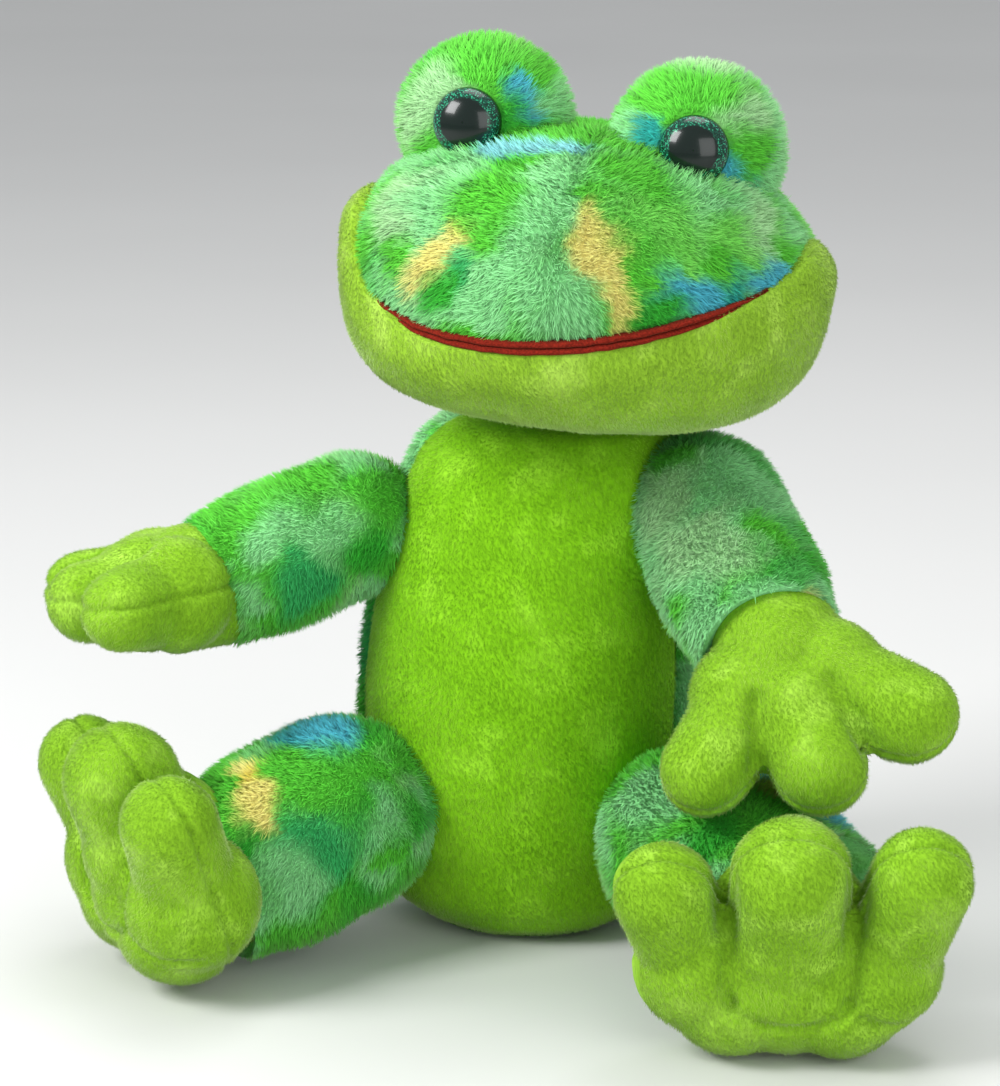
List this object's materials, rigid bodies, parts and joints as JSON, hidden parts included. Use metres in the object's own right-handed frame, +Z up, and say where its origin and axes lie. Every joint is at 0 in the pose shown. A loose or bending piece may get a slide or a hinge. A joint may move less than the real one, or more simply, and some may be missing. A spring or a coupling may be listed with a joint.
{
  "type": "hand puppet",
  "caption": "Plush frog hand puppet, sitting, with fur limbs and fleece belly, jaw and paws; a hand goes in at the back to move its mouth.",
  "frame": {"origin": "centre of the flat seat that the frog sits on", "axes": "+Z up, the frog faces -Y, +X is its left side"},
  "size_m": [0.3427, 0.2311, 0.3299],
  "materials": {
    "body_fur": "soft tie-dyed plush fur in greens, yellow and blue",
    "belly_fleece": "short-pile lime fleece",
    "jaw_fleece": "short-pile yellow-green fleece",
    "paw_fleece": "short-pile lime fleece",
    "lining": "plain woven lining",
    "mouth_felt": "dark red felt",
    "filling": "white polyester fibre",
    "pellet_cloth": "cloth bag of small plastic pellets",
    "board": "matte",
    "eye_glitter": "gloss",
    "eye_gloss": "gloss",
    "washer": "matte"
  },
  "bodies": {
    "torso": {"belly_panel": "belly_fleece", "back_panel": "body_fur", "seat_panel": "body_fur", "pellet_bag": "pellet_cloth", "belly_filling": "filling", "hand_sleeve": "lining", "opening_binding": "paw_fleece"},
    "collar": {"collar": "jaw_fleece"},
    "neck": {"neck_sleeve": "lining", "mouth_fold": "mouth_felt"},
    "head": {"head_top": "body_fur", "head_back": "body_fur", "head_filling": "filling", "upper_mouth_lining": "mouth_felt", "upper_mouth_board": "board", "finger_pocket": "lining", "eye_r_mound": "body_fur", "eye_r_filling": "filling", "eye_r_iris": "eye_glitter", "eye_r_dome": "eye_gloss", "eye_r_washer": "washer", "eye_l_mound": "body_fur", "eye_l_filling": "filling", "eye_l_iris": "eye_glitter", "eye_l_dome": "eye_gloss", "eye_l_washer": "washer"},
    "jaw": {"jaw_cover": "jaw_fleece", "jaw_filling": "filling", "lower_mouth_lining": "mouth_felt", "lower_mouth_board": "board", "thumb_pocket": "lining"},
    "arm_r": {"arm_r_cover": "body_fur", "arm_r_filling": "filling"},
    "hand_r": {"hand_r_cover": "paw_fleece", "hand_r_filling": "filling"},
    "arm_l": {"arm_l_cover": "body_fur", "arm_l_filling": "filling"},
    "hand_l": {"hand_l_cover": "paw_fleece", "hand_l_filling": "filling"},
    "leg_r": {"leg_r_cover": "body_fur", "leg_r_filling": "filling"},
    "foot_r": {"foot_r_cover": "paw_fleece", "foot_r_filling": "filling"},
    "leg_l": {"leg_l_cover": "body_fur", "leg_l_filling": "filling"},
    "foot_l": {"foot_l_cover": "paw_fleece", "foot_l_filling": "filling"}
  },
  "joints": [
    {"name": "head_turn", "type": "hinge", "parent": "torso", "child": "collar", "pos_m": [0.016, 0.014, 0.185], "axis": [0, 0, 1], "range_deg": [-20, 20]},
    {"name": "head_nod", "type": "hinge", "parent": "collar", "child": "neck", "pos_m": [0.016, 0.014, 0.1885], "axis": [-1, 0, 0], "range_deg": [-4, 12]},
    {"name": "upper_jaw_lift", "type": "hinge", "parent": "neck", "child": "head", "pos_m": [0.0245, -0.005, 0.2365], "axis": [-1, 0, 0], "range_deg": [0, 25]},
    {"name": "lower_jaw_drop", "type": "hinge", "parent": "neck", "child": "jaw", "pos_m": [0.0245, -0.005, 0.2365], "axis": [1, 0, 0], "range_deg": [0, 14]},
    {"name": "arm_r_swing", "type": "hinge", "parent": "torso", "child": "arm_r", "pos_m": [-0.068, -0.009, 0.149], "axis": [-0.6321, 0.7749, 0], "range_deg": [-8, 45]},
    {"name": "hand_r_flex", "type": "hinge", "parent": "arm_r", "child": "hand_r", "pos_m": [-0.106, -0.04, 0.1365], "axis": [-0.6321, 0.7749, 0], "range_deg": [-15, 15]},
    {"name": "arm_l_swing", "type": "hinge", "parent": "torso", "child": "arm_l", "pos_m": [0.0762, -0.014, 0.157], "axis": [-0.9251, -0.3796, 0], "range_deg": [-3, 34]},
    {"name": "hand_l_flex", "type": "hinge", "parent": "arm_l", "child": "hand_l", "pos_m": [0.1, -0.072, 0.131], "axis": [-0.9251, -0.3796, 0], "range_deg": [-8, 15]},
    {"name": "leg_r_swing", "type": "hinge", "parent": "torso", "child": "leg_r", "pos_m": [-0.0592, -0.0466, 0.0345], "axis": [-0.644, 0.765, 0], "range_deg": [-50, 4]},
    {"name": "foot_r_flex", "type": "hinge", "parent": "leg_r", "child": "foot_r", "pos_m": [-0.0965, -0.078, 0.035], "axis": [-0.644, 0.765, 0], "range_deg": [-15, 15]},
    {"name": "leg_l_swing", "type": "hinge", "parent": "torso", "child": "leg_l", "pos_m": [0.0592, -0.0478, 0.0345], "axis": [-0.763, -0.6464, 0], "range_deg": [-50, 3]},
    {"name": "foot_l_flex", "type": "hinge", "parent": "leg_l", "child": "foot_l", "pos_m": [0.1085, -0.106, 0.033], "axis": [-0.763, -0.6464, 0], "range_deg": [-15, 4]}
  ]
}
